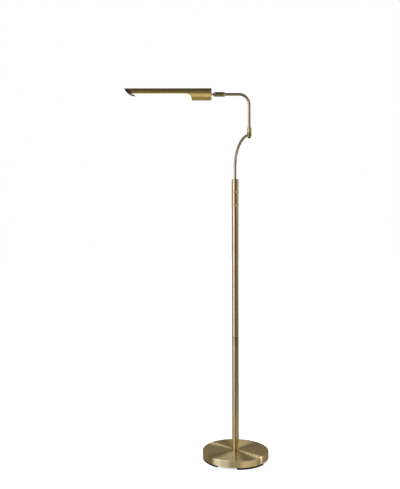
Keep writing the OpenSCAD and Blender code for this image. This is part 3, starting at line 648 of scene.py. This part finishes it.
def makeTurnedRing(node, shape):
    lo, hi = nodeBox(node)
    r = (hi[0] - lo[0]) / 2
    profile = outline([
        (shape["bore"], lo[2], 0), (r, lo[2], shape["foot"]), (r, hi[2], shape["top"]),
        (shape["bore"], hi[2], boreEdge)])
    words = node.split("_")
    name = words[0] + "".join(word.capitalize() for word in words[1:])
    return dress(lathe(name, profile, (0, 0, 0), (0, 0, 1)), node, shape["finish"])


for node, shape in turnedRings.items():
    makeTurnedRing(node, shape)
print("pole made")

# riser, elbow and upper arm

elbowSpot = np.array(joints["elbow_swing"]["pos_m"])
armTube = {"outer": 5 * mm, "inner": 3.8 * mm, "riserBend": 105 * mm, "armBend": 38 * mm, "intoEye": 3 * mm}


def makeRiser(shape):
    low = nodeBox("riser_rod")[0][2]
    eyeLo, eyeHi = nodeBox("elbow_eye")
    heading, reach = math.atan2(elbowSpot[1], elbowSpot[0]), math.hypot(*elbowSpot[:2])
    eyeRadius = (eyeHi[0] - eyeLo[0]) / 2
    out = reach - eyeRadius + shape["intoEye"] - shape["riserBend"]
    path = bentPath((0, 0), heading, low, (eyeLo[2] + eyeHi[2]) / 2, shape["riserBend"], out)
    side = np.array([-math.sin(heading), math.cos(heading), 0.0])
    return dress(tube("riserRod", path, side, shape["outer"], shape["inner"]), "riser_rod", tubeBrass)


def makeUpperArm(shape):
    lo, hi = nodeBox("upper_arm")
    out = elbowSpot[0] - lo[0] - shape["armBend"]
    path = bentPath(elbowSpot, math.pi, lo[2], hi[2] - shape["outer"], shape["armBend"], out)
    side = np.array([0, -1.0, 0])
    return dress(tube("upperArm", path, side, shape["outer"], shape["inner"]), "upper_arm", tubeBrass)


makeRiser(armTube)
makeUpperArm(armTube)

elbowShape = {"boltBore": 3.55 * mm, "boltSeat": 9 * mm, "wireBore": 2 * mm, "armBore": 5.05 * mm,
              "armSocket": 8 * mm, "edge": 0.8 * mm, "socketEdge": 0.2 * mm, "nutEdge": 0.3 * mm,
              "dome": 2.6 * mm}


def makeElbow(shape):
    foot, up = (elbowSpot[0], elbowSpot[1], 0), (0, 0, 1)
    lo, hi = nodeBox("elbow_eye")
    r, edge, bolt, arm = (hi[0] - lo[0]) / 2, shape["edge"], shape["boltBore"], shape["armBore"]
    eye = outline([(bolt, lo[2], 0), (r, lo[2], edge), (r, hi[2], edge), (bolt, hi[2], 0)])
    # the eye takes the darker satin brass, partly painted shade
    dress(lathe("elbowEye", eye, foot, up), "elbow_eye", satinBrassPaintedShade)
    lo, hi = nodeBox("elbow_barrel")
    seat, socket = lo[2] + shape["boltSeat"], hi[2] - shape["armSocket"]
    barrel = outline([
        (bolt, lo[2], 0), (r, lo[2], edge), (r, hi[2], edge), (arm, hi[2], shape["socketEdge"]),
        (arm, socket, 0), (shape["wireBore"], socket, 0), (shape["wireBore"], seat, 0), (bolt, seat, 0)])
    dress(lathe("elbowBarrel", barrel, foot, up), "elbow_barrel", barrelBrass)
    lo, hi = nodeBox("elbow_cap_nut")
    r = (hi[0] - lo[0]) / 2
    nut = outline([(0, hi[2], 0), (r, hi[2], shape["nutEdge"]), (r, lo[2], shape["dome"]),
                   (0, lo[2], 0)], False)
    dress(lathe("elbowCapNut", nut, foot, up), "elbow_cap_nut", blackBronze)


makeElbow(elbowShape)
print("arms made")

# swivel, turned about the level arm's line; lengths run from the elbow towards the shade

swivelSpot = np.array([elbowSpot[0], *joints["head_tilt"]["pos_m"][1:]])
alongArm = (-1, 0, 0)
ballReach = swivelSpot[0] - joints["head_tilt"]["pos_m"][0]
swivelShape = {"noseLength": 9 * mm, "lip": 0.6 * mm, "armBore": 5.05 * mm, "armBoreEdge": 0.3 * mm,
               "bore": 6.3 * mm, "boreLength": 11.6 * mm, "cavity": 5.65 * mm, "edge": 0.5 * mm,
               "ringEdge": 0.9 * mm, "spigotLength": 5 * mm, "fit": 0.05 * mm, "noseSteps": 17,
               "cupSteps": 8}
studShape = {"ball": 5.6 * mm, "neck": 2.75 * mm, "collar": 5.25 * mm, "collarLength": 1.6 * mm,
             "edge": 0.3 * mm, "ballSteps": 30, "segments": 64}


def reachOf(node):
    # where a node starts and ends along the arm's line, and its radius
    lo, hi = nodeBox(node)
    return swivelSpot[0] - hi[0], swivelSpot[0] - lo[0], (hi[2] - lo[2]) / 2


def makeSwivel(shape):
    # the end ring has a spigot in the socket's bore; the socket's nose is an arc that leaves its side
    # smoothly and ends at the lip round the ball
    start, end, r = reachOf("swivel_socket")
    ringStart, arm = reachOf("socket_end_ring")[0], shape["armBore"]
    spigot, spigotEnd = shape["bore"] - shape["fit"], start + shape["spigotLength"]
    ring = outline([(arm, ringStart, shape["armBoreEdge"]), (r, ringStart, shape["ringEdge"]),
                    (r, start, shape["edge"]), (spigot, start, 0), (spigot, spigotEnd, 0),
                    (arm, spigotEnd, 0)])
    dress(lathe("socketEndRing", ring, swivelSpot, alongArm), "socket_end_ring")
    cavity, noseStart = shape["cavity"], end - shape["noseLength"]
    lip = math.sqrt(cavity ** 2 - (end - ballReach) ** 2) + shape["lip"]
    arcR = ((r - lip) ** 2 + shape["noseLength"] ** 2) / (2 * (r - lip))
    t = np.linspace(0, math.asin(shape["noseLength"] / arcR), shape["noseSteps"])
    nose = np.stack([r - arcR * (1 - np.cos(t)), noseStart + arcR * np.sin(t)], -1)
    a = np.linspace(math.asin((end - ballReach) / cavity), 0, shape["cupSteps"])
    cup = np.stack([cavity * np.cos(a), ballReach + cavity * np.sin(a)], -1)
    step = start + shape["boreLength"]
    lead, leadWear = outline([(shape["bore"], start, 0), (r, start, shape["edge"]), (r, noseStart, 0)])[:2]
    line = np.vstack([lead[:-1], nose, cup, [[cavity, step], [shape["bore"], step]]])
    wear = np.zeros(len(line))
    wear[:len(lead)] = leadWear
    dress(lathe("swivelSocket", (line, wear, True), swivelSpot, alongArm), "swivel_socket")


def makeBallStud(shape):
    # ball, neck, the collar against the shade's end and the stud behind it, in one turned profile
    end, tail = reachOf("ball_stud")[1], reachOf("shade_shell")[0]
    a = np.linspace(math.pi, math.asin(shape["neck"] / shape["ball"]), shape["ballSteps"])
    ball = np.stack([shape["ball"] * np.sin(a), ballReach + shape["ball"] * np.cos(a)], -1)
    face, neck, collar, edge = tail - shape["collarLength"], shape["neck"], shape["collar"], shape["edge"]
    rest = outline([(neck, ballReach, 0), (neck, face, edge), (collar, face, edge), (collar, tail, 0),
                    (neck, tail, 0), (neck, end, edge), (0, end, 0)], False)[0]
    line = np.vstack([ball, rest[1:]])
    line[0, 0] = 0
    profile = line, np.zeros(len(line)), False
    dress(lathe("ballStud", profile, swivelSpot, alongArm, shape["segments"]), "ball_stud")


makeSwivel(swivelShape)
makeBallStud(studShape)
print("swivel made")

# shade

# the nose's darkening entry below is painted shade: a share growing towards the tip and a band along the cut
shadeShape = {"wall": 1.2 * mm, "tail": 73 * mm, "cutDrop": 1.9 * mm, "noseRadius": 46 * mm,
              "cornerRadius": 23 * mm, "bevel": 0.22 * mm,
              "columns": 97, "tailRows": 9, "cornerRows": 20, "levelRows": 28, "noseRows": 40,
              "smoke": {"reach": 60 * mm, "depth": 0.3, "band": 5 * mm, "bandReach": 28 * mm,
                        "bandSoft": 10 * mm, "bandDepth": 3}}


def shadeSheet(shape, radius, outer, length):
    # a tube wall of the given radius: along it the cut runs up a round corner, level, and up the nose's
    # arc; at each station the wall spans the angles from the top down to the cut on both sides
    drop, corner, noseR = shape["cutDrop"], shape["cornerRadius"], shape["noseRadius"]
    tip = lambda r: math.acos((noseR - drop - r) / noseR)
    noseStart = length - noseR * math.sin(tip(outer))
    a = np.linspace(math.asin((corner + drop - radius) / corner), math.pi / 2, shape["cornerRows"])
    b = np.linspace(0, tip(radius), shape["noseRows"])
    cornerX, cornerH = shape["tail"] + corner * (1 - np.cos(a)), corner * (np.sin(a) - 1) - drop
    levelX = np.linspace(cornerX[-1], noseStart, shape["levelRows"] + 2)[1:-1]
    noseX, noseH = noseStart + noseR * np.sin(b), noseR * (1 - np.cos(b)) - drop
    tailX = np.linspace(0, cornerX[0], shape["tailRows"] + 1)[:-1]
    x = np.concatenate([tailX, cornerX, levelX, noseX])
    h = np.concatenate([np.full(len(tailX), -radius), cornerH, np.full(len(levelX), -drop), noseH])
    limit = np.arccos(np.clip(h / radius, -1, 1))
    angle = limit[:, None] * np.linspace(-1, 1, shape["columns"])
    points = np.stack([x[:, None] + 0 * angle, radius * np.sin(angle), radius * np.cos(angle)], -1)
    return points, angle * radius


def paintNoseShade(shape, points, arc):
    # painted shade that darkens the nose: a share that grows towards the tip, and a band along the cut there,
    # full over half its width and gone at one and a half; it goes into the wear mark
    fromTip = points[..., 0].max() - points[..., 0]
    fromCut = np.abs(arc[:, :1]) - np.abs(arc)
    band = np.clip(1.5 - fromCut / shape["band"], 0, 1)
    band *= np.clip((shape["bandReach"] - fromTip) / shape["bandSoft"], 0, 1)
    return shape["depth"] * np.clip(1 - fromTip / shape["reach"], 0, 1) + shape["bandDepth"] * band


def makeShadeShell(shape):
    # an outer and an inner sheet, joined along both rims of the cut and at the butt end
    lo, hi = nodeBox("shade_shell")
    outer, length = (hi[1] - lo[1]) / 2, hi[0] - lo[0]
    sheets = [shadeSheet(shape, radius, outer, length) for radius in (outer, outer - shape["wall"])]
    rows, cols = sheets[0][0].shape[:2]
    verts = np.concatenate([points.reshape(-1, 3) for points, arc in sheets])
    verts = np.array([hi[0], swivelSpot[1], swivelSpot[2]]) + verts * np.array([-1, 1, 1])
    # on the shell the wear mark holds only painted shade along the nose
    wear = np.concatenate([paintNoseShade(shape["smoke"], *sheet).reshape(-1) for sheet in sheets])
    arc = np.concatenate([arc.reshape(-1) for points, arc in sheets])
    run = np.concatenate([points[..., 0].reshape(-1) for points, arc in sheets])
    quads = gridCells(rows, cols, False, False)[0]
    inner = quads[:, ::-1] + rows * cols
    i = np.arange(shape["tailRows"], rows - 1)
    first, last, skin = i * cols, i * cols + cols - 1, rows * cols
    rimA = np.stack([first, first + cols, first + cols + skin, first + skin], -1)[:, ::-1]
    rimB = np.stack([last, last + cols, last + cols + skin, last + skin], -1)
    j = np.arange(cols - 1)
    butt = np.stack([j, j + 1, j + 1 + skin, j + skin], -1)
    faces = [quads, inner, rimA, rimB, butt]
    uvs = [np.stack([arc[group], run[group]], -1) for group in faces]
    shell = buildPiece("shadeShell", verts, faces, uvs, wear)
    inside = np.repeat([0, 1, 0, 0, 0], [len(group) for group in faces])
    shell.data.polygons.foreach_set("material_index", inside.astype(np.int32))
    return shell


def closeSeams(piece, bevelWidth, weld=1e-6, sliver=1e-7, sharp=math.radians(40)):
    # welds the points that lie on each other, where a sheet meets itself or ends in a point, and rounds
    # the sharp edges
    work = bmesh.new()
    work.from_mesh(piece.data)
    bmesh.ops.remove_doubles(work, verts=work.verts, dist=weld)
    bmesh.ops.dissolve_degenerate(work, edges=work.edges, dist=sliver)
    bmesh.ops.recalc_face_normals(work, faces=work.faces)
    work.to_mesh(piece.data)
    work.free()
    bevel = piece.modifiers.new("edges", "BEVEL")
    bevel.width, bevel.segments, bevel.limit_method = bevelWidth, 2, "ANGLE"
    bevel.angle_limit, bevel.harden_normals = sharp, True
    applyShape(piece)


shell = makeShadeShell(shadeShape)
closeSeams(shell, shadeShape["bevel"])
dress(shell, "shade_shell", shadeBrass, shadeLiningPaintedLight)

endCapShape = {"bore": 2.8 * mm, "boreEdge": 0.2 * mm, "edge": 0.4 * mm}


def makeShadeEndCap(shape):
    start, end, r = reachOf("shade_end_cap")
    profile = outline([(shape["bore"], start, shape["boreEdge"]), (r, start, shape["edge"]), (r, end, 0),
                       (shape["bore"], end, 0)])
    return dress(lathe("shadeEndCap", profile, swivelSpot, alongArm), "shade_end_cap", turnedBrass)


makeShadeEndCap(endCapShape)

diffuserShape = {"inset": 0.3 * mm, "edge": 0.4 * mm, "backEdge": 0.2 * mm, "rows": 41}


def makeDiffuser(shape):
    # a rounded strip section carried along the shade
    half = lightShape["half"] - shape["inset"]
    tall = diffuserHi[2] - diffuserLo[2]
    section = outline([(-half, 0, shape["edge"]), (half, 0, shape["edge"]),
                       (half, tall, shape["backEdge"]), (-half, tall, shape["backEdge"])])[0]
    x = np.linspace(diffuserHi[0], diffuserLo[0], shape["rows"])[:, None]
    y, z = swivelSpot[1] + section[:, 0], diffuserLo[2] + section[:, 1]
    points = np.stack([x + 0 * y, y + 0 * x, z + 0 * x], -1)
    return dress(gridPiece("diffuser", points, False), "diffuser")


makeDiffuser(diffuserShape)

apronShape = {"recess": 6 * mm, "thick": 1 * mm, "gap": 0.15 * mm, "top": 20 * mm, "steps": 25}


def makeApron(shape, shade):
    # pale plate from the light's end up into the nose, with a dim painted glow and painted shade further up: an
    # arc parallel to the nose's cut, as wide at each height as the tube is there
    lo, hi = nodeBox("shade_shell")
    outer, noseR = (hi[1] - lo[1]) / 2, shade["noseRadius"]
    inner, rise = outer - shade["wall"], noseR - shade["cutDrop"]
    noseX = lo[0] + math.sqrt(noseR ** 2 - (rise - outer) ** 2)
    arcR = noseR - shape["recess"]
    start = math.asin((noseX - nodeBox("tray_end_cap")[0][0]) / arcR)
    t = np.linspace(start, math.acos((rise - shape["top"]) / arcR), shape["steps"])[:, None]
    side, faces = np.linspace(-1, 1, shape["steps"]), []
    for radius, across in ((arcR, side), (arcR - shape["thick"], -side)):
        h = rise - radius * np.cos(t)
        y = (np.sqrt(inner ** 2 - h ** 2) - shape["gap"]) * across
        x = noseX - radius * np.sin(t)
        faces.append(np.stack([x + 0 * y, swivelSpot[1] + y, swivelSpot[2] + h + 0 * y], -1))
    apron = gridPiece("lightApron", np.concatenate(faces, 1), False)
    apron.data.materials.append(apronIvoryPaintedLight)
    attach(apron, bodyOf["tray_end_cap"])


makeApron(apronShape, shadeShape)

trayScrew = {"radius": 2.3 * mm, "head": 1.3 * mm, "shank": 1.3 * mm, "length": 9 * mm}


def makeTrayScrews(shape):
    lo, hi = nodeBox("tray_screws")
    z = (lo[2] + hi[2]) / 2
    seats = [((hi[0] - shape["head"], swivelSpot[1], z), (1, 0, 0)),
             ((lo[0] + shape["head"], swivelSpot[1], z), (-1, 0, 0))]
    screws = [screwHead("trayScrew", seat, axis, shape) for seat, axis in seats]
    return dress(joined(screws, "trayScrews"), "tray_screws")


makeTrayScrews(trayScrew)
print("shade made")

# camera: its place in metres, its focal length and the picture's height in pixels, its roll in degrees

viewShape = {"spot": (-0.1367, -2.312, 0.828), "focal": 595.7, "roll": 0.087, "imageHeight": 489,
             "sensor": 36.0, "farEnd": 100.0}


def makeCamera(shape):
    lens = bpy.data.cameras.new("camera")
    lens.sensor_width = shape["sensor"]
    lens.lens = shape["sensor"] * shape["focal"] / shape["imageHeight"]
    lens.clip_end = shape["farEnd"]
    camera = bpy.data.objects.new("camera", lens)
    camera.location = shape["spot"]
    camera.rotation_euler = (math.pi / 2, math.radians(shape["roll"]), 0)
    bpy.context.scene.collection.objects.link(camera)
    bpy.context.scene.camera = camera


makeCamera(viewShape)

# floor and light

floorShape = {"half": 30.0, "colour": tone(246, 246, 245), "rough": 0.9}


def makeFloor(shape):
    # the metal doesn't mirror it, and light from below passes through it
    half = shape["half"]
    corners = [(-half, -half, 0), (half, -half, 0), (half, half, 0), (-half, half, 0)]
    mesh = bpy.data.meshes.new("floor")
    mesh.from_pydata(corners, [], [(0, 1, 2, 3)])
    floor = bpy.data.objects.new("floor", mesh)
    bpy.context.scene.collection.objects.link(floor)
    mesh.materials.append(newFinish("floor", Base_Color=shape["colour"], Roughness=shape["rough"],
                                    Specular_IOR_Level=0.0)[0])
    floor.visible_glossy = floor.visible_shadow = False


makeFloor(floorShape)

# what the metal mirrors: each box has its azimuth from the camera's side, to the right positive, its
# elevation, half width and half height, the soft borders of each, all in degrees, and its light
softboxes = {
    "key": {"az": -57, "el": 20, "wide": 21, "tall": 13, "soft": (18, 42), "light": (1.3, 1.38, 1.75)},
    "fill": {"az": 92, "el": 29, "wide": 22, "tall": 18, "soft": (24, 24), "light": (0.5, 0.49, 0.53)},
    "right": {"az": 46, "el": 4, "wide": 16, "tall": 20, "soft": (26, 14), "light": (0.11, 0.1, 0.08)},
    "lowFill": {"az": 50, "el": -42, "wide": 24, "tall": 14, "soft": (16, 16), "light": (0.7, 0.66, 0.58)},
    "ground": {"az": 0, "el": -62, "wide": 200, "tall": 36, "soft": (12, 12), "light": (0.24, 0.22, 0.165)},
    "backLeft": {"az": -150, "el": 8, "wide": 34, "tall": 16, "soft": (20, 20), "light": (0.16, 0.15, 0.13)},
    "backRight": {"az": 150, "el": 8, "wide": 34, "tall": 16, "soft": (20, 20), "light": (0.16, 0.15, 0.13)},
}
surroundings = {"ambient": (0.085, 0.07, 0.045), "backdrop": (1, 1, 1, 1)}


def makeSurroundings(shape, boxes):
    world = bpy.data.worlds.new("studio")
    bpy.context.scene.world = world
    world.use_nodes = True
    wire = Wire(world.node_tree)
    direction = wire.node("ShaderNodeTexCoord", None, None, "Generated")
    x, y, z = (wire.split(direction, part) for part in range(3))
    azimuth = x.math("ARCTAN2", x, y * -1.0)
    elevation = z.math("ARCSINE", z)
    total = shape["ambient"]
    for box in boxes.values():
        sides = (azimuth, "az", "wide"), (elevation, "el", "tall")
        masks = []
        for (angle, middle, half), soft in zip(sides, box["soft"]):
            gap = angle - math.radians(box[middle])
            gap = gap.math("ABSOLUTE", gap)
            masks.append(gap.smooth(math.radians(box[half] + soft), math.radians(box[half])))
        lit = wire.vector("SCALE", {0: box["light"], "Scale": masks[0] * masks[1]})
        total = wire.vector("ADD", {0: lit, 1: total})
    seen = wire.node("ShaderNodeLightPath", None, None, "Is Camera Ray")
    wire.mix(seen, total, shape["backdrop"]).feed(world.node_tree.nodes["Background"], "Color")


makeSurroundings(surroundings, softboxes)


def addSun(name, power, turn, size, shadow=True):
    lamp = bpy.data.lights.new(name, "SUN")
    lamp.energy, lamp.angle, lamp.use_shadow = power, math.radians(size), shadow
    sun = bpy.data.objects.new(name, lamp)
    sun.rotation_euler = turn
    bpy.context.scene.collection.objects.link(sun)
    return sun


# even light on the floor, which the metal doesn't mirror; its lean and size in degrees
overheadShape = {"power": 3.7, "lean": (12, -14, 0), "size": 100}
overhead = addSun("overhead", overheadShape["power"], np.radians(overheadShape["lean"]),
                  overheadShape["size"], False)
overhead.visible_glossy = False


def onlyOn(light, piece):
    # the light falls on one piece, and only the piece's gloss shows it
    lit = bpy.data.collections.new(light.name + "Lit")
    lit.objects.link(piece)
    light.light_linking.receiver_collection = lit
    light.visible_diffuse = False


# lights on the turned base alone, for its thin streak, its broad sheen and the sheen of its rim: each stands
# where the camera's line of sight goes off a facet that faces the azimuth and leans up by its angle; the
# leans have their light's power
streaks = {
    "thin": {"azimuth": -43, "size": 2.5, "leans": {15: 0.17, 42: 0.19, 70: 0.09}},
    "broad": {"azimuth": -106, "size": 34, "leans": {65: 0.38}},
    "rim": {"azimuth": -86, "size": 80, "leans": {4: 0.34, 38: 0.18}},
    "rimLeft": {"azimuth": -126, "size": 26, "leans": {2: 0.1, 30: 0.05}},
}


def makeStreakLights(shape):
    # with unit vectors V to the camera and H along the facet's normal, the light lies at 2 (V . H) H - V
    toCamera = np.array(viewShape["spot"]) - np.array([0, 0, nodeBox("base_cover")[1][2]])
    toCamera /= np.linalg.norm(toCamera)
    turn = math.radians(shape["azimuth"])
    for lean, power in shape["leans"].items():
        tilt = math.radians(lean)
        facet = np.array([math.cos(tilt) * math.cos(turn), math.cos(tilt) * math.sin(turn), math.sin(tilt)])
        x, y, z = 2 * (toCamera @ facet) * facet - toCamera
        turned = (0, math.acos(z), math.atan2(y, x))
        onlyOn(addSun("streak", power, turned, shape["size"]), baseCover)


for shape in streaks.values():
    makeStreakLights(shape)

# soft light on the brushed shade from the front, and from below and behind; elevations from the front
shadeLights = {
    "front": {"elevation": -28, "size": 60, "power": 1.32},
    "under": {"elevation": -118, "size": 60, "power": 0.38},
}
for shape in shadeLights.values():
    turn = (math.radians(90 - shape["elevation"]), 0, 0)
    onlyOn(addSun("shadeLight", shape["power"], turn, shape["size"]), shell)
bpy.context.scene.view_settings.view_transform = "Standard"
print("stage made")
